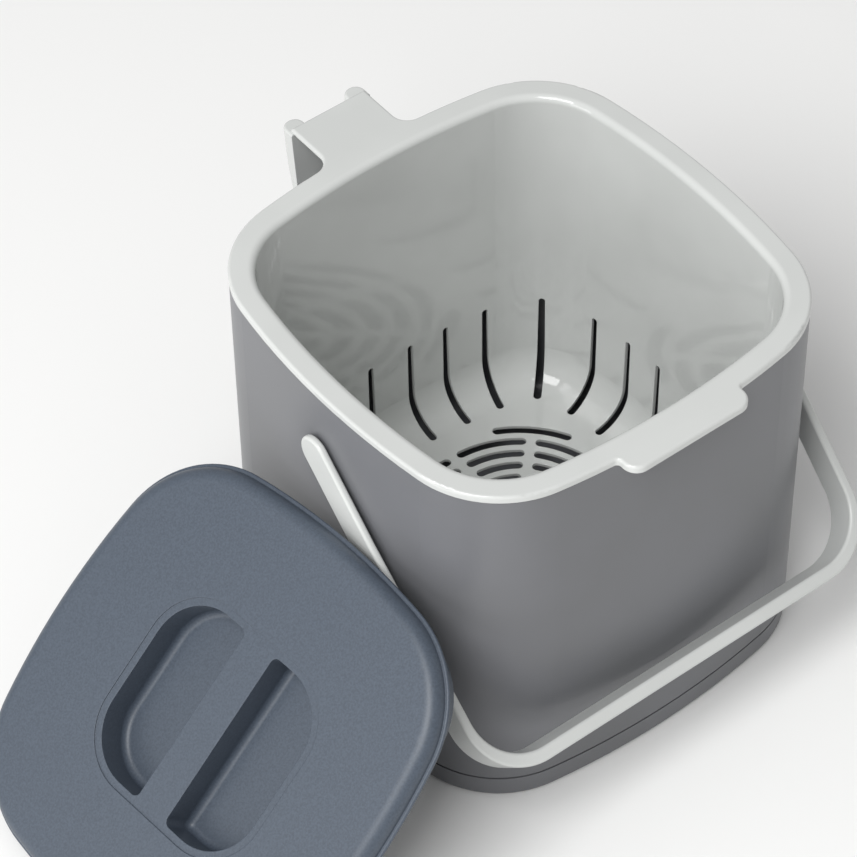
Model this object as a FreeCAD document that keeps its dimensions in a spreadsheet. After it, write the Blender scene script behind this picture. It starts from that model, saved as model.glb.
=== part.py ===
import FreeCAD, Part
import math
import os
import re

import Sketcher

# A lidded food-waste bin for the worktop or a cupboard door, in millimetres.
# The origin is under the middle of the base. Z is up, the hook is at the back
# (+Y), the pull tab in front (-Y), and the carry handle turns on the X sides.
# Its plan is a rounded square with slightly bowed sides. The basket hangs in
# the bucket by its rim, the handle lies in front, and the lid is taken off and
# leans beside the bin.

SIZES = {
    # Plan of the rim, which the bucket and the basket follow at an inset
    "rim_half": 100.0,
    "side_radius": 372.0,
    "corner_radius": 46.0,
    "overall_height": 188.0,

    # Bucket
    "bucket_wall": 2.5,
    "bucket_top_inset": 0.2,
    "bucket_foot_inset": 0.9,
    "bucket_floor_level": 5.0,
    "bucket_floor_radius": 8.0,
    "foot_edge_radius": 2.5,
    "foot_line_level": 11.2,
    "foot_line_width": 1.0,
    "foot_line_depth": 0.8,

    # Basket
    "rim_width": 11.0,
    "rim_thickness": 3.4,
    "rim_outer_radius": 1.2,
    "rim_inner_radius": 3.0,
    "rim_seat_gap": 0.25,
    "basket_wall": 1.6,
    "basket_draft": 2.8,
    "basket_floor_level": 23.0,
    "basket_floor_radius": 17.0,
    "skirt_clearance": 0.7,
    "skirt_thickness": 1.6,
    "skirt_depth": 4.0,

    # Pull tab on the basket's rim
    "tab_half_width": 30.6,
    "tab_reach": 8.2,
    "tab_corner_radius": 6.5,
    "tab_root_radius": 2.0,

    # Door hook on the basket's rim
    "hook_gap": 24.0,
    "hook_plate_thickness": 2.0,
    "hook_root_radius": 7.5,
    "hook_web": 2.3,
    "hook_shoulder_drop": 1.6,
    "hook_shoulder_width": 1.4,
    "hook_leg_drop": 52.0,
    "hook_leg_top_half_width": 20.5,
    "hook_leg_foot_half_width": 17.5,
    "hook_leg_corner_radius": 4.0,
    "hook_rib_width": 9.2,
    "hook_rib_depth": 6.2,
    "hook_rib_drop": 44.0,
    "hook_rib_flat": 0.4,

    # Air slots round the basket's wall
    "slot_foot_width": 3.6,
    "slot_top_width": 2.8,
    "slot_top_level": 70.0,
    "slot_corner_run": 38.2,

    # Ring slots in the basket's floor
    "ring_slot_width": 4.1,
    "ring_pitch": 7.0,
    "ring_first_radius": 11.1,
    "ring_corner_centre": 11.0,
    "ring_spoke_width": 4.1,

    # Carry handle
    "pivot_drop": 33.5,
    "peg_radius": 5.0,
    "peg_depth": 1.8,
    "peg_edge_chamfer": 0.6,
    "socket_radius": 5.05,
    "socket_depth": 2.0,
    "strap_width": 16.6,
    "strap_side_gap": 0.8,
    "strap_thickness": 3.2,
    "strap_straight_length": 42.0,
    "strap_lean": 0.9,
    "strap_foot_thickness": 4.3,
    "strap_edge_radius": 1.3,
    "grip_reach": 153.2,
    "grip_thickness": 5.9,
    "grip_outer_radius": 27.8,
    "grip_inner_radius": 24.3,
    "grip_rest_gap": 0.3,

    # Lid
    "lid_margin": 5.5,
    "lid_side_radius": 332.0,
    "lid_corner_radius": 50.7,
    "lid_lip_width": 1.6,
    "lid_lip_height": 1.8,
    "lid_lip_edge_radius": 0.8,
    "lid_height": 8.0,
    "lid_edge_radius": 6.0,
    "lid_wall": 2.2,
    "plug_clearance": 2.3,
    "plug_wall": 1.8,
    "plug_depth": 11.0,
    "panel_margin": 3.2,
    "panel_corner_radius": 27.0,
    "panel_depth": 0.5,
    "well_inner_edge": 8.5,
    "well_outer_edge": 43.2,
    "well_half_length": 41.0,
    "well_outer_radius": 24.0,
    "well_inner_radius": 3.0,
    "well_floor_radius": 3.0,
    "well_depth": 17.0,
    "well_wall": 1.8,

    # How the taken-off lid leans, in degrees, and where it stands
    "lid_tilt": 41.85,
    "lid_heading": 185.1,
    "lid_spin": -0.75,
    "lid_centre_front": 28.1,
    "lid_lean_gap": 0.4,

    # Overrun of the cuts
    "overrun": 1.0,
}

# Places of the air slots, as shares of the rim's half width
SIDE_SLOT_SHARES = (
    # along the wall, along the floor end, in to the floor end
    (0.102, 0.115, 0.707),
    (0.296, 0.293, 0.690),
    (0.531, 0.460, 0.671),
)

# Levels and widths that more than one piece follows
PIVOT_LEVEL = "overall_height - pivot_drop"
LID_HALF = "rim_half - lid_margin"

RING_COUNT = 6
LEAN_STEPS = 8
OUTER_RING_HALF_ANGLE = math.radians(17.0)
QUARTER_TURN = math.pi / 2
CLOSE = 0.01
UP = FreeCAD.Vector(0, 0, 1)

doc = FreeCAD.newDocument("waste_bin")
sheet = doc.addObject("Spreadsheet::Sheet", "Sizes")
for row, (alias, default) in enumerate(SIZES.items(), start=1):
    sheet.set("A%d" % row, alias.replace("_", " "))
    sheet.set("B%d" % row, str(default))
    sheet.setAlias("B%d" % row, alias)
doc.recompute()


def bound(text):
    """The expression that reads the named sizes in the text from the sheet."""
    return re.sub(r"[a-z_]+", lambda word: "Sizes." + word.group() if word.group() in SIZES else word.group(), text)


def size(text):
    """The present value of an expression in the named sizes."""
    return float(sheet.evalExpression(bound(text)))


def turned(across, along, angle):
    """A point of the plan, turned about the origin."""
    x = across * math.cos(angle) - along * math.sin(angle)
    y = across * math.sin(angle) + along * math.cos(angle)
    return FreeCAD.Vector(x, y, 0)


def new_body(label):
    body = doc.addObject("PartDesign::Body", label)
    body.Label = label
    return body


def origin_plane(body, role):
    return [item for item in body.Origin.OriginFeatures if item.Role == role][0]


def new_sketch(body, name, plane, offset):
    """An empty sketch on one of the body's own planes, moved along the plane's normal."""
    sketch = body.newObject("Sketcher::SketchObject", name)
    sketch.AttachmentSupport = (origin_plane(body, plane), [""])
    sketch.MapMode = "FlatFace"
    sketch.setExpression("AttachmentOffset.Base.z", bound(offset))
    return sketch


def drive(sketch, constraint, name, text):
    """Add a sketch dimension and bind it to an expression in the named sizes."""
    index = sketch.addConstraint(constraint)
    sketch.renameConstraint(index, name)
    sketch.setExpression("Constraints." + name, bound(text))


def corner_centre(half, side_radius, corner_radius):
    """Where both coordinates of a corner arc's centre lie, so that it is tangent to the side arcs."""
    side_centre = half - side_radius
    return (side_centre + math.sqrt(2 * (side_radius - corner_radius) ** 2 - side_centre ** 2)) / 2


def draw_bowed_square(sketch, name, half, side_radius, corner_radius):
    """Four shallow side arcs and four corner arcs, each tangent to the next."""
    flat, bow, turn_radius = size(half), size(side_radius), size(corner_radius)
    side_place = flat - bow
    corner_place = corner_centre(flat, bow, turn_radius)
    sweep = math.atan2(corner_place, corner_place - side_place)
    first = sketch.GeometryCount
    for quarter in range(4):
        angle = quarter * QUARTER_TURN
        side = Part.Circle(turned(side_place, 0, angle), UP, bow)
        corner = Part.Circle(turned(corner_place, corner_place, angle), UP, turn_radius)
        sketch.addGeometry(Part.ArcOfCircle(side, angle - sweep, angle + sweep))
        sketch.addGeometry(Part.ArcOfCircle(corner, angle + sweep, angle + QUARTER_TURN - sweep))
    for number in range(8):
        sketch.addConstraint(Sketcher.Constraint("Tangent", first + number, 2, first + (number + 1) % 8, 1))
    for quarter in range(4):
        axis = -1 - quarter % 2
        sketch.addConstraint(Sketcher.Constraint("PointOnObject", first + 2 * quarter, 3, axis))
        kind = ("DistanceX", "DistanceY")[quarter % 2]
        ends = (first + 2 * quarter, 3, -1, 1) if quarter < 2 else (-1, 1, first + 2 * quarter, 3)
        offset = Sketcher.Constraint(kind, *ends, bow - flat)
        drive(sketch, offset, "%s_centre_%d" % (name, quarter), "%s - (%s)" % (side_radius, half))
    drive(sketch, Sketcher.Constraint("Radius", first, bow), name + "_side", side_radius)
    drive(sketch, Sketcher.Constraint("Radius", first + 1, turn_radius), name + "_corner", corner_radius)
    for number in range(2, 8):
        sketch.addConstraint(Sketcher.Constraint("Equal", first + number % 2, first + number))


def rim_outline(body, name, level, *insets):
    """The rim's outline at a level, once for each inset."""
    sketch = new_sketch(body, name, "XY_Plane", level)
    for number, inset in enumerate(insets):
        sizes = [base + " - (" + inset + ")" for base in ("rim_half", "side_radius", "corner_radius")]
        draw_bowed_square(sketch, "outline_%d" % number, *sizes)
    return sketch


def lid_outline(body, name, level, inset):
    """The lid's outline at a level and an inset."""
    sketch = new_sketch(body, name, "XY_Plane", level)
    sizes = [base + " - (" + inset + ")" for base in (LID_HALF, "lid_side_radius", "lid_corner_radius")]
    draw_bowed_square(sketch, "outline", *sizes)
    return sketch


def polygon(body, name, plane, offset, points):
    """A closed outline through points whose two coordinates are expressions in the named sizes."""
    sketch = new_sketch(body, name, plane, offset)
    places = [FreeCAD.Vector(size(across), size(along), 0) for across, along in points]
    count = len(points)
    for number in range(count):
        sketch.addGeometry(Part.LineSegment(places[number], places[(number + 1) % count]))
    for number in range(count):
        sketch.addConstraint(Sketcher.Constraint("Coincident", number, 2, (number + 1) % count, 1))
    for number, (across, along) in enumerate(points):
        to_right = Sketcher.Constraint("DistanceX", -1, 1, number, 1, places[number].x)
        to_top = Sketcher.Constraint("DistanceY", -1, 1, number, 1, places[number].y)
        drive(sketch, to_right, "across_%d" % number, across)
        drive(sketch, to_top, "along_%d" % number, along)
    return sketch


def rectangle(body, name, plane, offset, left, right, low, high):
    return polygon(body, name, plane, offset, [(left, low), (right, low), (right, high), (left, high)])


def circle(body, name, plane, offset, across, along, radius):
    """A circle about a point whose coordinates are expressions in the named sizes."""
    sketch = new_sketch(body, name, plane, offset)
    centre = FreeCAD.Vector(size(across), size(along), 0)
    sketch.addGeometry(Part.Circle(centre, UP, size(radius)))
    drive(sketch, Sketcher.Constraint("DistanceX", -1, 1, 0, 3, centre.x), "across", across)
    drive(sketch, Sketcher.Constraint("DistanceY", -1, 1, 0, 3, centre.y), "along", along)
    drive(sketch, Sketcher.Constraint("Radius", 0, size(radius)), "radius", radius)
    return sketch


def extrude(body, kind, name, sketch, length, reverse=False):
    """A pad or a pocket of a stated length."""
    feature = body.newObject("PartDesign::" + kind, name)
    feature.Profile = sketch
    feature.Reversed = reverse
    feature.setExpression("Length", bound(length))
    return feature


def cut_through(body, name, sketch):
    """A pocket through everything, both ways from its sketch."""
    feature = body.newObject("PartDesign::Pocket", name)
    feature.Profile = sketch
    feature.Type = "ThroughAll"
    feature.SideType = "Symmetric"
    return feature


def lean_walls(body, name, level, angle, wanted, reverse=False):
    """Lean those upright faces of the body so far that the test picks, about the plane at a level."""
    doc.recompute()
    before = body.Tip
    picked = ["Face%d" % number for number, face in enumerate(before.Shape.Faces, start=1)
              if is_upright(face) and wanted(centre_point(face))]
    still = body.newObject("PartDesign::Plane", name + "_level")
    still.AttachmentSupport = (origin_plane(body, "XY_Plane"), [""])
    still.MapMode = "FlatFace"
    still.setExpression("AttachmentOffset.Base.z", bound(level))
    feature = body.newObject("PartDesign::Draft", name)
    feature.Base = (before, picked)
    feature.NeutralPlane = (still, [""])
    feature.Reversed = reverse
    feature.setExpression("Angle", bound(angle))
    doc.recompute()
    return feature


def round_edges(body, name, radius, wanted):
    """A fillet on those edges of the body so far that the test picks."""
    doc.recompute()
    before = body.Tip
    picked = ["Edge%d" % number for number, edge in enumerate(before.Shape.Edges, start=1) if wanted(edge)]
    if not picked:
        raise RuntimeError("no edges found for " + name)
    feature = body.newObject("PartDesign::Fillet", name)
    feature.Base = (before, picked)
    feature.setExpression("Radius", bound(radius))
    doc.recompute()
    return feature


def centre_point(face):
    """The point in the middle of a face's own range."""
    first_u, last_u, first_v, last_v = face.ParameterRange
    return face.valueAt((first_u + last_u) / 2, (first_v + last_v) / 2)


def is_upright(face):
    """Whether a face is square to the base."""
    first_u, last_u, first_v, last_v = face.ParameterRange
    return abs(face.normalAt((first_u + last_u) / 2, (first_v + last_v) / 2).z) < CLOSE


def chamfer_edges(body, name, length, wanted):
    """A chamfer on those edges of the body so far that the test picks."""
    doc.recompute()
    before = body.Tip
    picked = ["Edge%d" % number for number, edge in enumerate(before.Shape.Edges, start=1) if wanted(edge)]
    feature = body.newObject("PartDesign::Chamfer", name)
    feature.Base = (before, picked)
    feature.setExpression("Size", bound(length))
    doc.recompute()
    return feature


def is_level(edge, level):
    """Whether an edge lies in the level plane at this height."""
    box = edge.BoundBox
    return abs(box.ZMin - level) < CLOSE and abs(box.ZMax - level) < CLOSE


def middle(edge):
    return edge.valueAt((edge.FirstParameter + edge.LastParameter) / 2)


def rim_inset(point):
    """How far inside the rim's outline a point of the plan lies."""
    across, along = abs(point.x), abs(point.y)
    half, bow, turn_radius = size("rim_half"), size("side_radius"), size("corner_radius")
    centre = corner_centre(half, bow, turn_radius)
    side_inset = bow - math.hypot(max(across, along) - half + bow, min(across, along))
    corner_inset = turn_radius - math.hypot(across - centre, along - centre)
    sweep = math.atan2(centre, centre - half + bow)
    heading = math.atan2(along - centre, across - centre)
    return corner_inset if sweep < heading < QUARTER_TURN - sweep else side_inset


# Outer bucket: one moulding with a flat base, a thin line round its foot and
# a short peg on each side wall, on which the handle turns.
def make_bucket():
    body = new_body("outer_bucket")
    top = "overall_height - rim_thickness - rim_seat_gap"
    draft = "atan((bucket_foot_inset - bucket_top_inset) / (%s))" % top
    foot_outline = rim_outline(body, "foot_outline", "0", "bucket_foot_inset")
    extrude(body, "Pad", "wall", foot_outline, top)
    lean_walls(body, "wall_draft", "0", draft, lambda point: True, reverse=True)
    round_edges(body, "foot_edge", "foot_edge_radius", lambda edge: is_level(edge, 0))

    cavity_inset = "bucket_foot_inset + bucket_wall"
    floor_outline = rim_outline(body, "floor_outline", "bucket_floor_level", cavity_inset)
    extrude(body, "Pocket", "cavity", floor_outline, top, reverse=True)
    inside = size(cavity_inset) - CLOSE
    lean_walls(body, "cavity_draft", "0", draft, lambda point: rim_inset(point) > inside)
    floor = size("bucket_floor_level")
    round_edges(body, "floor_edge", "bucket_floor_radius", lambda edge: is_level(edge, floor))

    line_inset = "bucket_foot_inset + foot_line_depth"
    line = rim_outline(body, "foot_line_outline", "foot_line_level", "-overrun", line_inset)
    extrude(body, "Pocket", "foot_line", line, "foot_line_width", reverse=True)

    peg_root, peg_tip = "rim_half - bucket_wall", "rim_half + strap_side_gap + peg_depth"
    for name, sign, reverse in (("right", "", False), ("left", "-", True)):
        peg = circle(body, name + "_peg_outline", "YZ_Plane", "%s(%s)" % (sign, peg_root), "0", PIVOT_LEVEL,
                     "peg_radius")
        extrude(body, "Pad", name + "_peg", peg, "%s - (%s)" % (peg_tip, peg_root), reverse)
    tip = size(peg_tip)
    chamfer_edges(body, "peg_edges", "peg_edge_chamfer",
                  lambda edge: abs(abs(middle(edge).x) - tip) < CLOSE and edge.BoundBox.XLength < CLOSE)
    return body


# Inner basket: one moulding that hangs in the bucket by its rim, with the pull
# tab in front, the door hook at the back and a pierced wall and floor.
def make_basket_shell():
    body = new_body("basket_shell")
    flange_level = "overall_height - rim_thickness"
    flange_outline = rim_outline(body, "flange_outline", flange_level, "0")
    extrude(body, "Pad", "flange", flange_outline, "rim_thickness")
    under_floor = "basket_floor_level - basket_wall"
    tub_depth = "%s - (%s)" % (flange_level, under_floor)
    draft = "atan(basket_draft / (overall_height - basket_floor_level))"
    tub_outline = rim_outline(body, "tub_outline", under_floor, "rim_width - basket_wall")
    extrude(body, "Pad", "tub", tub_outline, tub_depth)
    hollow_outline = rim_outline(body, "hollow_outline", "basket_floor_level", "rim_width")
    extrude(body, "Pocket", "hollow", hollow_outline, "overall_height - basket_floor_level", reverse=True)
    inside = size("rim_width") - CLOSE
    lean_walls(body, "hollow_draft", "overall_height", draft, lambda point: rim_inset(point) > inside)
    floor = size("basket_floor_level")
    round_edges(body, "hollow_edge", "basket_floor_radius", lambda edge: is_level(edge, floor))
    rim_top = size("overall_height")
    inner_edges = lambda edge: is_level(edge, rim_top) and rim_inset(middle(edge)) > inside
    round_edges(body, "rim_inner_edge", "rim_inner_radius", inner_edges)
    below_rim = size(flange_level)
    lean_walls(body, "tub_draft", flange_level, draft, lambda point: point.z < below_rim, reverse=True)
    tub_bottom = size(under_floor)
    round_edges(body, "tub_edge", "basket_floor_radius + basket_wall", lambda edge: is_level(edge, tub_bottom))

    skirt_inset = "bucket_top_inset + bucket_wall + skirt_clearance"
    skirt = rim_outline(body, "skirt_outline", flange_level, skirt_inset, skirt_inset + " + skirt_thickness")
    extrude(body, "Pad", "skirt", skirt, "skirt_depth", reverse=True)

    root = "rim_half - rim_width / 2"
    tab_outline = rectangle(body, "tab_outline", "XY_Plane", flange_level, "-tab_half_width", "tab_half_width",
                            "-rim_half - tab_reach", "-(%s)" % root)
    extrude(body, "Pad", "tab", tab_outline, "rim_thickness")
    plate_level = "overall_height - hook_plate_thickness"
    plate_side = "(hook_leg_top_half_width - hook_shoulder_width)"
    plate_outline = rectangle(body, "plate_outline", "XY_Plane", plate_level, "-" + plate_side, plate_side,
                              root, "rim_half + hook_gap + hook_web")
    extrude(body, "Pad", "plate", plate_outline, "hook_plate_thickness")

    def stands_between(low, front, back):
        """A test for upright edges from a level to the rim's top in this stretch of Y."""
        return lambda edge: (abs(edge.BoundBox.ZMin - low) < CLOSE and abs(edge.BoundBox.ZMax - rim_top) < CLOSE
                             and front < middle(edge).y < back and edge.BoundBox.XLength < CLOSE)

    tab_front = -size("rim_half + tab_reach")
    tab_corners = stands_between(below_rim, tab_front - CLOSE, tab_front + CLOSE)
    round_edges(body, "tab_corners", "tab_corner_radius", tab_corners)
    round_edges(body, "tab_roots", "tab_root_radius", stands_between(below_rim, tab_front + CLOSE, 0))
    plate_end = size("rim_half + hook_gap")
    round_edges(body, "hook_roots", "hook_root_radius", stands_between(size(plate_level), 0, plate_end))

    add_hook_leg(body)
    outer_edges = lambda edge: is_level(edge, rim_top) and rim_inset(middle(edge)) < CLOSE
    round_edges(body, "rim_outer_edge", "rim_outer_radius", outer_edges)
    return body


def add_hook_leg(body):
    """The leg hangs from the plate: a web with a deep half-round rib down each side, narrower at its foot."""
    web_face = "rim_half + hook_gap"
    rib_face = web_face + " + hook_web + hook_rib_depth"
    shoulder = "overall_height - hook_shoulder_drop"
    foot = "overall_height - hook_leg_drop"
    leg_outline = polygon(body, "leg_outline", "XZ_Plane", "-(%s)" % web_face, [
        ("-hook_leg_top_half_width", shoulder),
        ("-hook_leg_foot_half_width", foot),
        ("hook_leg_foot_half_width", foot),
        ("hook_leg_top_half_width", shoulder),
    ])
    extrude(body, "Pad", "leg", leg_outline, "hook_web + hook_rib_depth", reverse=True)
    between_ribs = polygon(body, "between_ribs", "XZ_Plane", "-(%s + hook_web)" % web_face, [
        ("-(hook_leg_top_half_width - hook_rib_width)", shoulder),
        ("-(hook_leg_foot_half_width - hook_rib_width)", foot),
        ("hook_leg_foot_half_width - hook_rib_width", foot),
        ("hook_leg_top_half_width - hook_rib_width", shoulder),
    ])
    extrude(body, "Pocket", "rib_gap", between_ribs, "hook_rib_depth + overrun")
    foot_level, shoulder_level, face = size(foot), size(shoulder), size(rib_face)
    rib_sides = lambda edge: (abs(edge.BoundBox.YMin - face) < CLOSE and abs(edge.BoundBox.YMax - face) < CLOSE
                              and edge.BoundBox.ZLength > CLOSE)
    round_edges(body, "rib_sides", "(hook_rib_width - hook_rib_flat) / 2", rib_sides)
    web_back = size(web_face + " + hook_web") + CLOSE
    rib_tops = lambda edge: is_level(edge, shoulder_level) and middle(edge).y > web_back
    round_edges(body, "rib_tops", "hook_shoulder_width - hook_rib_flat", rib_tops)

    rib_slope = polygon(body, "rib_slope", "YZ_Plane", "0", [
        (rib_face, shoulder + " + overrun"),
        (rib_face, shoulder),
        (web_face + " + hook_web", "overall_height - hook_rib_drop"),
        (web_face + " + hook_web", foot + " - overrun"),
        (rib_face + " + overrun", foot + " - overrun"),
        (rib_face + " + overrun", shoulder + " + overrun"),
    ])
    cut_through(body, "rib_taper", rib_slope)

    foot_corners = lambda edge: is_level(edge, foot_level) and edge.BoundBox.XLength < CLOSE
    round_edges(body, "leg_corners", "hook_leg_corner_radius", foot_corners)


def air_slot(wall_place, floor_end, foot_width, top_width, top_level, bottom_level):
    """The cutter of one slot, narrower upwards, with a round top and a round end on the floor."""
    along = (floor_end - wall_place).normalize()
    sideways = FreeCAD.Vector(-along.y, along.x, 0)
    last = floor_end - along * (foot_width / 2)
    foot = wall_place + UP * bottom_level
    shoulder = wall_place + UP * (top_level - top_width / 2)
    feet = [foot - sideways * (foot_width / 2), foot + sideways * (foot_width / 2)]
    shoulders = [shoulder - sideways * (top_width / 2), shoulder + sideways * (top_width / 2)]
    outline = Part.Wire([
        Part.makeLine(feet[0], feet[1]),
        Part.makeLine(feet[1], shoulders[1]),
        Part.Arc(shoulders[1], wall_place + UP * top_level, shoulders[0]).toShape(),
        Part.makeLine(shoulders[0], feet[0]),
    ])
    blade = Part.Face(outline).extrude(last - wall_place)
    round_end = Part.makeCylinder(foot_width / 2, shoulder.z - foot.z, last + UP * bottom_level, UP)
    return blade.fuse(round_end)


def air_slots():
    """Three slots each side of the middle of every wall and one at every corner."""
    half = size("rim_half")
    corner_end = size("rim_half - slot_corner_run")
    profile = [size("slot_foot_width"), size("slot_top_width"), size("slot_top_level"),
               size("basket_floor_level - basket_wall - overrun")]
    cutters = []
    for quarter in range(4):
        angle = quarter * QUARTER_TURN
        for wall_share, floor_share, reach_share in SIDE_SLOT_SHARES:
            for side in (-1, 1):
                wall_place = turned(half, side * wall_share * half, angle)
                floor_end = turned(reach_share * half, side * floor_share * half, angle)
                cutters.append(air_slot(wall_place, floor_end, *profile))
        cutters.append(air_slot(turned(half, half, angle), turned(corner_end, corner_end, angle), *profile))
    return cutters


def arc_slot(centre, radius, first, last, width, low, height):
    """The cutter of a slot that bends about a centre, with round ends."""
    half_width = width / 2

    def place(distance, angle):
        return centre + FreeCAD.Vector(distance * math.cos(angle), distance * math.sin(angle), low)

    def arc(distance, start, end):
        return Part.Arc(place(distance, start), place(distance, (start + end) / 2), place(distance, end)).toShape()

    def round_end(angle, outward):
        tip = place(radius, angle) + FreeCAD.Vector(-math.sin(angle), math.cos(angle), 0) * half_width * outward
        return Part.Arc(place(radius + half_width, angle), tip, place(radius - half_width, angle)).toShape()

    outline = Part.Wire([
        arc(radius + half_width, first, last),
        round_end(last, 1),
        arc(radius - half_width, last, first),
        round_end(first, -1),
    ])
    return Part.Face(outline).extrude(UP * height)


def straight_slot(centre, half_length, angle, width, low, height):
    """The cutter of a straight slot with round ends, square to the heading of its centre."""
    half_width = width / 2
    along = FreeCAD.Vector(-math.sin(angle), math.cos(angle), 0)
    across = FreeCAD.Vector(math.cos(angle), math.sin(angle), 0) * half_width
    middle_place = centre + UP * low
    ends = [middle_place - along * half_length, middle_place + along * half_length]
    outline = Part.Wire([
        Part.makeLine(ends[0] + across, ends[1] + across),
        Part.Arc(ends[1] + across, ends[1] + along * half_width, ends[1] - across).toShape(),
        Part.makeLine(ends[1] - across, ends[0] - across),
        Part.Arc(ends[0] - across, ends[0] - along * half_width, ends[0] + across).toShape(),
    ])
    return Part.Face(outline).extrude(UP * height)


def ring_slots():
    """Rounded-square rings of slots in the floor, parted by spokes, and one more slot at each corner."""
    corner, width = size("ring_corner_centre"), size("ring_slot_width")
    low = size("basket_floor_level - basket_wall - overrun")
    height = size("basket_wall + 2 * overrun")
    first_radius, pitch = size("ring_first_radius"), size("ring_pitch")
    spoke_room = size("ring_spoke_width / 2 + ring_slot_width / 2")
    cutters = []
    for quarter in range(4):
        angle = quarter * QUARTER_TURN
        centre = turned(corner, corner, angle)
        for ring in range(RING_COUNT):
            radius = first_radius + ring * pitch
            spoke = math.asin(spoke_room / radius)
            eighth = QUARTER_TURN / 2
            for start, end in ((spoke, eighth - spoke), (eighth + spoke, QUARTER_TURN - spoke)):
                if (end - start) * radius > width:
                    cutters.append(arc_slot(centre, radius, angle + start, angle + end, width, low, height))
            flat = turned(corner + radius, 0, angle)
            cutters.append(straight_slot(flat, corner - spoke_room, angle, width, low, height))
        outer_radius = first_radius + RING_COUNT * pitch
        diagonal = angle + QUARTER_TURN / 2
        start, end = diagonal - OUTER_RING_HALF_ANGLE, diagonal + OUTER_RING_HALF_ANGLE
        cutters.append(arc_slot(centre, outer_radius, start, end, width, low, height))
    return cutters


def make_basket():
    """The shell with its slots cut."""
    shell = make_basket_shell()
    cutters = doc.addObject("Part::Feature", "slot_cutters")
    cutters.Shape = Part.makeCompound(air_slots() + ring_slots())
    basket = doc.addObject("Part::Cut", "inner_basket")
    basket.Label = "inner_basket"
    basket.Base = shell
    basket.Tool = cutters
    return basket


# Carry handle: one bent strap with a round socket inside each end. The strap
# springs over the bucket's pegs, which turn in the sockets. It is drawn
# hanging straight down from its pivot, then turned forward until the grip
# rests against the bucket's front.
def make_handle():
    body = new_body("carry_handle")
    inner_face = "rim_half + strap_side_gap"
    outer_face = inner_face + " + strap_thickness"
    foot_outer = outer_face + " - strap_lean"
    foot_inner = foot_outer + " - strap_foot_thickness"
    grip_top = "-(grip_reach - grip_thickness)"
    right_side = [
        (inner_face, "0"),
        (inner_face, "-strap_straight_length"),
        (foot_inner, grip_top),
        (foot_outer, "-grip_reach"),
        (outer_face, "-strap_straight_length"),
        (outer_face, "0"),
    ]
    left_side = [("-(%s)" % across, along) for across, along in right_side]
    points = right_side[:3] + left_side[2::-1] + left_side[:2:-1] + right_side[3:]
    strap = polygon(body, "strap_outline", "XZ_Plane", "0", points)
    pad = extrude(body, "Pad", "strap", strap, "strap_width")
    pad.SideType = "Symmetric"
    for name, offset, reverse in (("right", inner_face, False), ("left", "-(%s)" % inner_face, True)):
        end = circle(body, name + "_end_outline", "YZ_Plane", offset, "0", "0", "strap_width / 2")
        extrude(body, "Pad", name + "_end", end, "strap_thickness", reverse)

    half_width = size("strap_width / 2")
    for name, level, radius in (("grip_inner", grip_top, "grip_inner_radius"),
                                ("grip_outer", "-grip_reach", "grip_outer_radius")):
        corner_level = size(level)
        corners = lambda edge: is_level(edge, corner_level) and edge.BoundBox.XLength < CLOSE
        round_edges(body, name, radius, corners)

    def is_long_edge(edge):
        box = edge.BoundBox
        beside = box.YLength < CLOSE and abs(abs(box.YMin) - half_width) < CLOSE and not is_level(edge, 0)
        end_arc = box.XLength < CLOSE and isinstance(edge.Curve, Part.Circle)
        return beside or end_arc

    round_edges(body, "strap_edges", "strap_edge_radius", is_long_edge)

    for name, sign, reverse in (("right", "", True), ("left", "-", False)):
        socket = circle(body, name + "_socket_outline", "YZ_Plane", "%s(%s)" % (sign, inner_face), "0", "0",
                        "socket_radius")
        extrude(body, "Pocket", name + "_socket", socket, "socket_depth", reverse)

    inner_reach = size("grip_reach - grip_thickness")
    stop = size("rim_half - bucket_top_inset + grip_rest_gap")
    drop = math.acos(stop / math.hypot(inner_reach, half_width)) - math.atan2(half_width, inner_reach)
    turn = FreeCAD.Rotation(FreeCAD.Vector(1, 0, 0), math.degrees(drop - QUARTER_TURN))
    body.Placement = FreeCAD.Placement(UP * size(PIVOT_LEVEL), turn)
    print("handle rests %.2f degrees below level" % math.degrees(drop))
    return body


# Lid: one moulding with a thin lip that rests on the rim, a rolled edge, a
# plug skirt that drops inside the basket, and two finger wells that leave a
# flush grip bar between them. It is drawn lying flat, its lip at level zero.
def make_lid():
    body = new_body("lid")
    lip = lid_outline(body, "lip_outline", "0", "0")
    extrude(body, "Pad", "lip", lip, "lid_lip_height")
    lip_top = size("lid_lip_height")
    round_edges(body, "lip_edge", "lid_lip_edge_radius",
                lambda edge: is_level(edge, 0) or is_level(edge, lip_top))
    crown = lid_outline(body, "crown_outline", "0", "lid_lip_width")
    extrude(body, "Pad", "crown", crown, "lid_height")
    top = size("lid_height")
    round_edges(body, "crown_edge", "lid_edge_radius", lambda edge: is_level(edge, top))
    hollow = lid_outline(body, "hollow_outline", "0", "lid_lip_width + lid_wall")
    extrude(body, "Pocket", "hollow", hollow, "lid_height - lid_wall", reverse=True)
    ceiling = size("lid_height - lid_wall")
    round_edges(body, "hollow_edge", "lid_edge_radius - lid_wall", lambda edge: is_level(edge, ceiling))

    plug_inset = "rim_width + plug_clearance"
    plug = rim_outline(body, "plug_outline", "lid_height - lid_wall", plug_inset, plug_inset + " + plug_wall")
    extrude(body, "Pad", "plug", plug, "lid_height - lid_wall + plug_depth", reverse=True)

    add_wells(body)
    return body


def upright_at(across, along):
    """A test for upright edges at these distances from the middle planes, on either side."""
    def wanted(edge):
        point = middle(edge)
        straight_up = edge.BoundBox.XLength < CLOSE and edge.BoundBox.YLength < CLOSE
        return straight_up and abs(abs(point.x) - across) < CLOSE and abs(abs(point.y) - along) < CLOSE
    return wanted


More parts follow.
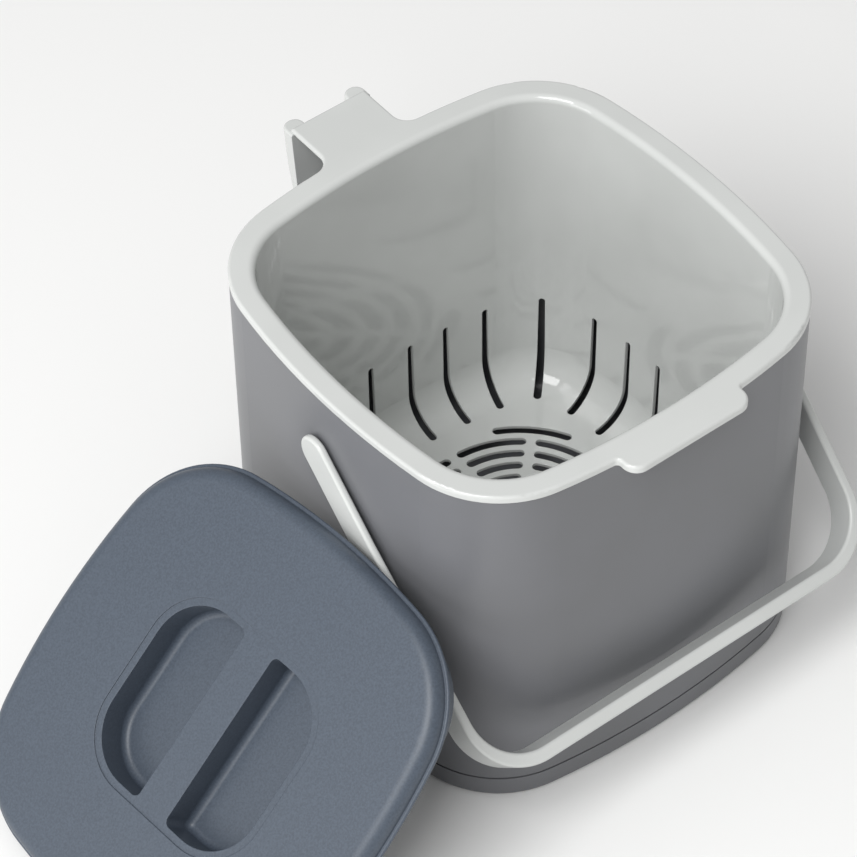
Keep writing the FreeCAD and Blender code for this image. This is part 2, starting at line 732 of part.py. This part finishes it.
def add_wells(body):
    """Two finger wells: their shells under the lid, then the hollows cut down into them."""
    along = "well_half_length + well_wall"
    near, far = "well_inner_edge - well_wall", "well_outer_edge + well_wall"
    for side, sign in (("right", ""), ("left", "-")):
        shell = rectangle(body, side + "_shell_outline", "XY_Plane", "lid_height - lid_wall",
                          "%s(%s)" % (sign, near), "%s(%s)" % (sign, far), "-(%s)" % along, along)
        extrude(body, "Pad", side + "_shell", shell, "well_depth + well_wall - lid_wall", reverse=True)
    for side, sign in (("right", ""), ("left", "-")):
        well = rectangle(body, side + "_well_outline", "XY_Plane", "lid_height", sign + "well_inner_edge",
                         sign + "well_outer_edge", "-well_half_length", "well_half_length")
        extrude(body, "Pocket", side + "_well", well, "well_depth")
    well_floor, well_end = size("lid_height - well_depth"), size("well_half_length")
    round_edges(body, "well_outer_corners", "well_outer_radius", upright_at(size("well_outer_edge"), well_end))
    round_edges(body, "well_inner_corners", "well_inner_radius", upright_at(size("well_inner_edge"), well_end))
    round_edges(body, "well_floor_edges", "well_floor_radius", lambda edge: is_level(edge, well_floor))
    shell_floor = size("lid_height - well_depth - well_wall")
    round_edges(body, "shell_outer_corners", "well_outer_radius + well_wall", upright_at(size(far), size(along)))
    round_edges(body, "shell_inner_corners", "well_inner_radius + well_wall", upright_at(size(near), size(along)))
    round_edges(body, "shell_floor_edges", "well_floor_radius + well_wall",
                lambda edge: is_level(edge, shell_floor))

    across, along = "well_outer_edge + panel_margin", "well_half_length + panel_margin"
    panel = rectangle(body, "panel_outline", "XY_Plane", "lid_height", "-(%s)" % across, across,
                      "-(%s)" % along, along)
    extrude(body, "Pocket", "panel", panel, "panel_depth")
    round_edges(body, "panel_corners", "panel_corner_radius", upright_at(size(across), size(along)))


def lean_lid(lid, handle):
    """Turn the lid to its lean, stand its lowest edge on the ground and bring it up to the handle's arm."""
    tilt, heading, spin = [math.radians(size(name)) for name in ("lid_tilt", "lid_heading", "lid_spin")]
    facing = FreeCAD.Vector(math.cos(heading), math.sin(heading), 0)
    level = FreeCAD.Vector(-math.sin(heading), math.cos(heading), 0)
    normal = facing * math.sin(tilt) + UP * math.cos(tilt)
    rise = normal.cross(level)
    across = level * math.cos(spin) + rise * math.sin(spin)
    up_lid = rise * math.cos(spin) - level * math.sin(spin)
    turn = FreeCAD.Rotation(across, up_lid, normal, "ZXY")
    lid.Placement = FreeCAD.Placement(FreeCAD.Vector(), turn)
    place = FreeCAD.Vector(-size("2 * rim_half + " + LID_HALF), -size("lid_centre_front"), 0)
    place.z = -lid.Shape.optimalBoundingBox(False, True).ZMin
    for step in range(LEAN_STEPS):
        lid.Placement = FreeCAD.Placement(place, turn)
        place.x += lid.Shape.distToShape(handle.Shape)[0] - size("lid_lean_gap")
    lid.Placement = FreeCAD.Placement(place, turn)


bucket = make_bucket()
basket = make_basket()
handle = make_handle()
lid = make_lid()
doc.recompute()
lean_lid(lid, handle)
doc.recompute()

for item in doc.Objects:
    if "Invalid" in item.State or "Error" in item.State:
        raise RuntimeError("%s did not recompute: %s" % (item.Name, item.State))

pieces = (bucket, basket, handle, lid)
for piece in pieces:
    if piece.Shape.isNull() or not piece.Shape.isValid() or len(piece.Shape.Solids) != 1:
        raise RuntimeError(piece.Label + " is not one valid solid")

os.makedirs("parts", exist_ok=True)
for piece in pieces:
    piece.Shape.exportStep("parts/%s.step" % piece.Label)
    box = piece.Shape.optimalBoundingBox(False, True)
    print("%-13s volume %8.0f  X %.2f %.2f  Y %.2f %.2f  Z %.2f %.2f" % (
        piece.Label, piece.Shape.Volume, box.XMin, box.XMax, box.YMin, box.YMax, box.ZMin, box.ZMax))
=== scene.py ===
import math

import bpy
from mathutils import Matrix, Vector

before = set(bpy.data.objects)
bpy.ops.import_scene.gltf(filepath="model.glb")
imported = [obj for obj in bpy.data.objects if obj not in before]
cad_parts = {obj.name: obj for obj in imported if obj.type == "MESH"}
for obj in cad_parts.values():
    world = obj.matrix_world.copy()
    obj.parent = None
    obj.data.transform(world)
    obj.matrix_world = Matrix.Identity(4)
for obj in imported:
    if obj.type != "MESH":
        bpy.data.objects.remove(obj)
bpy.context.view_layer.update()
MILLIMETRE = 0.001

# Outer bucket.
# One polypropylene injection moulding, dark grey all through. Its tool was
# finished with fine stone, so the skin is satin: broad soft reflections that
# brighten where the wall turns away from the eye.

BUCKET_GREY = "#6a6b6e"
BUCKET_GREY_CLOUD = "#6e6f73"
BUCKET_ROUGHNESS = 0.36
BUCKET_ROUGHNESS_DRIFT = 0.03
BUCKET_CLOUD_WIDTH = 60 * MILLIMETRE
BUCKET_GRAIN_WIDTH = 0.7 * MILLIMETRE
BUCKET_GRAIN_HEIGHT = 0.012 * MILLIMETRE
BUCKET_EDGE_RADIUS = 0.4 * MILLIMETRE
POLYPROPYLENE_IOR = 1.49
TONE_STOPS = (0.35, 0.65)


def linear(hex_colour):
    """An sRGB hex colour as linear red, green, blue and alpha."""
    channels = [int(hex_colour[place:place + 2], 16) / 255 for place in (1, 3, 5)]
    return [c / 12.92 if c <= 0.04045 else ((c + 0.055) / 1.055) ** 2.4 for c in channels] + [1.0]


def add_node(tree, kind, settings, links):
    """Add a shader node, set its properties and sockets by name, and link outputs to its inputs."""
    made = tree.nodes.new("ShaderNode" + kind)
    for name, value in settings.items():
        if hasattr(made, name):
            setattr(made, name, value)
        else:
            made.inputs[name].default_value = value
    for name, output in links.items():
        tree.links.new(output, made.inputs[name])
    return made


def new_material(name):
    """An empty material, its node tree and its output node."""
    material = bpy.data.materials.new(name)
    material.use_nodes = True
    tree = material.node_tree
    tree.nodes.clear()
    return material, tree, tree.nodes.new("ShaderNodeOutputMaterial")


def two_tones(tree, amount, first, second):
    """A colour that drifts between two near tones as a noise does."""
    drift = add_node(tree, "ValToRGB", {}, {"Fac": amount})
    for stop, position, tone in zip(drift.color_ramp.elements, TONE_STOPS, (first, second)):
        stop.position = position
        stop.color = linear(tone)
    return drift.outputs["Color"]


def satin_polypropylene():
    """Stone-finished polypropylene: even dark grey, with a faint drift of tone and a very fine grain."""
    material, tree, output = new_material("satin moulded polypropylene, dark grey")
    place = add_node(tree, "TexCoord", {}, {}).outputs["Object"]
    cloud = add_node(tree, "TexNoise", {"Scale": 1 / BUCKET_CLOUD_WIDTH, "Detail": 2.0}, {"Vector": place})
    grain = add_node(tree, "TexNoise", {"Scale": 1 / BUCKET_GRAIN_WIDTH, "Detail": 2.0}, {"Vector": place})
    gloss = add_node(tree, "MapRange", {
        "To Min": BUCKET_ROUGHNESS - BUCKET_ROUGHNESS_DRIFT,
        "To Max": BUCKET_ROUGHNESS + BUCKET_ROUGHNESS_DRIFT,
    }, {"Value": cloud.outputs["Fac"]})
    edge = add_node(tree, "Bevel", {"samples": 4, "Radius": BUCKET_EDGE_RADIUS}, {})
    bump = add_node(tree, "Bump", {"Strength": 1.0, "Distance": BUCKET_GRAIN_HEIGHT},
                    {"Height": grain.outputs["Fac"], "Normal": edge.outputs["Normal"]})
    shader = add_node(tree, "BsdfPrincipled", {"IOR": POLYPROPYLENE_IOR}, {
        "Base Color": two_tones(tree, cloud.outputs["Fac"], BUCKET_GREY, BUCKET_GREY_CLOUD),
        "Roughness": gloss.outputs["Result"],
        "Normal": bump.outputs["Normal"],
    })
    tree.links.new(shader.outputs["BSDF"], output.inputs["Surface"])
    return material


def finish_node(name, material):
    """Give a piece of the frame its material."""
    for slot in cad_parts[name].material_slots:
        slot.material = material


finish_node("outer_bucket", satin_polypropylene())


# Inner basket, with the rim, pull tab and door hook moulded in one.
# Light grey polypropylene from a polished tool: the walls mirror the pierced
# floor faintly, and every slot has a small rounded edge that catches light.

LIGHT_GREY = "#c9cbc9"
LIGHT_GREY_CLOUD = "#cdcfcd"
BASKET_ROUGHNESS = 0.06
BASKET_ROUGHNESS_DRIFT = 0.02
BASKET_CLOUD_WIDTH = 45 * MILLIMETRE
BASKET_RIPPLE_WIDTH = 22 * MILLIMETRE
BASKET_RIPPLE_HEIGHT = 0.05 * MILLIMETRE
BASKET_EDGE_RADIUS = 0.5 * MILLIMETRE


def polished_polypropylene(name, roughness, ripple_height):
    """Polished polypropylene: light grey and glossy, with the faint sink and ripple of a thin moulding."""
    material, tree, output = new_material(name)
    place = add_node(tree, "TexCoord", {}, {}).outputs["Object"]
    cloud = add_node(tree, "TexNoise", {"Scale": 1 / BASKET_CLOUD_WIDTH, "Detail": 2.0}, {"Vector": place})
    ripple = add_node(tree, "TexNoise", {"Scale": 1 / BASKET_RIPPLE_WIDTH, "Detail": 1.0}, {"Vector": place})
    gloss = add_node(tree, "MapRange", {
        "To Min": roughness - BASKET_ROUGHNESS_DRIFT,
        "To Max": roughness + BASKET_ROUGHNESS_DRIFT,
    }, {"Value": cloud.outputs["Fac"]})
    edge = add_node(tree, "Bevel", {"samples": 6, "Radius": BASKET_EDGE_RADIUS}, {})
    bump = add_node(tree, "Bump", {"Strength": 1.0, "Distance": ripple_height},
                    {"Height": ripple.outputs["Fac"], "Normal": edge.outputs["Normal"]})
    shader = add_node(tree, "BsdfPrincipled", {"IOR": POLYPROPYLENE_IOR}, {
        "Base Color": two_tones(tree, cloud.outputs["Fac"], LIGHT_GREY, LIGHT_GREY_CLOUD),
        "Roughness": gloss.outputs["Result"],
        "Normal": bump.outputs["Normal"],
    })
    tree.links.new(shader.outputs["BSDF"], output.inputs["Surface"])
    return material


finish_node("inner_basket", polished_polypropylene(
    "polished moulded polypropylene, light grey", BASKET_ROUGHNESS, BASKET_RIPPLE_HEIGHT))


# Carry handle, one bent strap that springs over the bucket's pegs.
# The same light grey polypropylene, from a tool that was polished less, so
# its highlights are broader than the basket's.

HANDLE_ROUGHNESS = 0.30
HANDLE_RIPPLE_HEIGHT = 0.025 * MILLIMETRE

finish_node("carry_handle", polished_polypropylene(
    "smooth moulded polypropylene, light grey", HANDLE_ROUGHNESS, HANDLE_RIPPLE_HEIGHT))


# Lid, with its two finger wells.
# Blue-grey polypropylene from a spark-eroded tool: a fine pebbled skin that
# mottles the light and leaves no clear reflection.

LID_BLUE_GREY = "#454d58"
LID_BLUE_GREY_PALE = "#4d5662"
LID_ROUGHNESS = 0.42
LID_ROUGHNESS_DRIFT = 0.05
LID_GRAIN_WIDTH = 0.9 * MILLIMETRE
LID_GRAIN_HEIGHT = 0.05 * MILLIMETRE
LID_EDGE_RADIUS = 0.5 * MILLIMETRE


def textured_polypropylene():
    """Spark-textured polypropylene: blue grey, mottled by a pebble grain just coarse enough to show."""
    material, tree, output = new_material("spark-textured moulded polypropylene, blue grey")
    place = add_node(tree, "TexCoord", {}, {}).outputs["Object"]
    grain = add_node(tree, "TexNoise", {"Scale": 1 / LID_GRAIN_WIDTH, "Detail": 3.0}, {"Vector": place})
    gloss = add_node(tree, "MapRange", {
        "To Min": LID_ROUGHNESS - LID_ROUGHNESS_DRIFT,
        "To Max": LID_ROUGHNESS + LID_ROUGHNESS_DRIFT,
    }, {"Value": grain.outputs["Fac"]})
    edge = add_node(tree, "Bevel", {"samples": 6, "Radius": LID_EDGE_RADIUS}, {})
    bump = add_node(tree, "Bump", {"Strength": 1.0, "Distance": LID_GRAIN_HEIGHT},
                    {"Height": grain.outputs["Fac"], "Normal": edge.outputs["Normal"]})
    shader = add_node(tree, "BsdfPrincipled", {"IOR": POLYPROPYLENE_IOR}, {
        "Base Color": two_tones(tree, grain.outputs["Fac"], LID_BLUE_GREY, LID_BLUE_GREY_PALE),
        "Roughness": gloss.outputs["Result"],
        "Normal": bump.outputs["Normal"],
    })
    tree.links.new(shader.outputs["BSDF"], output.inputs["Surface"])
    return material


finish_node("lid", textured_polypropylene())


# Floor.
# A sheet of matt white paper on the studio table. It takes the bin's soft
# shadow, and beyond it the paper goes on, so no edge shows.

PAPER_WHITE = "#f4f4f3"
PAPER_ROUGHNESS = 0.9
PAPER_WIDTH = 8.0


def matt_paper():
    """Matt paper: white, with no shine."""
    material, tree, output = new_material("matt white backdrop paper")
    finish = {"Roughness": PAPER_ROUGHNESS, "Base Color": linear(PAPER_WHITE)}
    shader = add_node(tree, "BsdfPrincipled", finish, {})
    tree.links.new(shader.outputs["BSDF"], output.inputs["Surface"])
    return material


bpy.ops.mesh.primitive_plane_add(size=PAPER_WIDTH)
floor = bpy.context.object
floor.name = "floor"
floor.data.materials.append(matt_paper())


# Studio light.
# A bright room all round, one large soft box high on the front left, which
# reaches down to the basket's floor, and a low one that brightens the left
# sides.

LAMP_AIM = Vector((0.0, 0.0, 0.1))
SOFT_BOXES = (
    # name, place, width in metres and power in watts
    ("high_soft_box", Vector((-1.5, -0.6, 2.2)), 1.5, 58.0),
    ("side_soft_box", Vector((-2.1, 0.1, 0.7)), 1.0, 12.0),
)
ROOM_WHITE = (1, 1, 1, 1)
ROOM_STRENGTH = 0.43

for name, place, width, power in SOFT_BOXES:
    lamp_data = bpy.data.lights.new(name, "AREA")
    lamp_data.shape = "SQUARE"
    lamp_data.size = width
    lamp_data.energy = power
    lamp = bpy.data.objects.new(name, lamp_data)
    bpy.context.scene.collection.objects.link(lamp)
    lamp.location = place
    lamp.rotation_euler = (LAMP_AIM - place).to_track_quat("-Z", "Y").to_euler()

room = bpy.data.worlds.new("white_room")
bpy.context.scene.world = room
room.use_nodes = True
room.node_tree.nodes["Background"].inputs["Color"].default_value = ROOM_WHITE
room.node_tree.nodes["Background"].inputs["Strength"].default_value = ROOM_STRENGTH


# Camera.
# It looks down on the bin from the front left, from where a person stands.

AZIMUTH = math.radians(-37.40)
ELEVATION = math.radians(47.72)
ROLL = math.radians(-0.88)
DISTANCE = 1.6678
AIM = Vector((-0.02929, 0.02225, 0.100))
FOCAL_PIXELS = 4018.2
IMAGE_PIXELS = 857
SENSOR_MILLIMETRES = 36

back = Vector((
    math.sin(AZIMUTH) * math.cos(ELEVATION),
    -math.cos(AZIMUTH) * math.cos(ELEVATION),
    math.sin(ELEVATION),
))
level_right = Vector((math.cos(AZIMUTH), math.sin(AZIMUTH), 0))
level_up = back.cross(level_right)
right = level_right * math.cos(ROLL) + level_up * math.sin(ROLL)
up = level_up * math.cos(ROLL) - level_right * math.sin(ROLL)
camera_data = bpy.data.cameras.new("camera")
camera_data.sensor_width = SENSOR_MILLIMETRES
camera_data.lens = FOCAL_PIXELS / IMAGE_PIXELS * SENSOR_MILLIMETRES
camera = bpy.data.objects.new("camera", camera_data)
bpy.context.scene.collection.objects.link(camera)
turn = Matrix((right, up, back)).transposed().to_4x4()
camera.matrix_world = Matrix.Translation(AIM + back * DISTANCE) @ turn
bpy.context.scene.camera = camera
bpy.context.scene.view_settings.view_transform = "Standard"
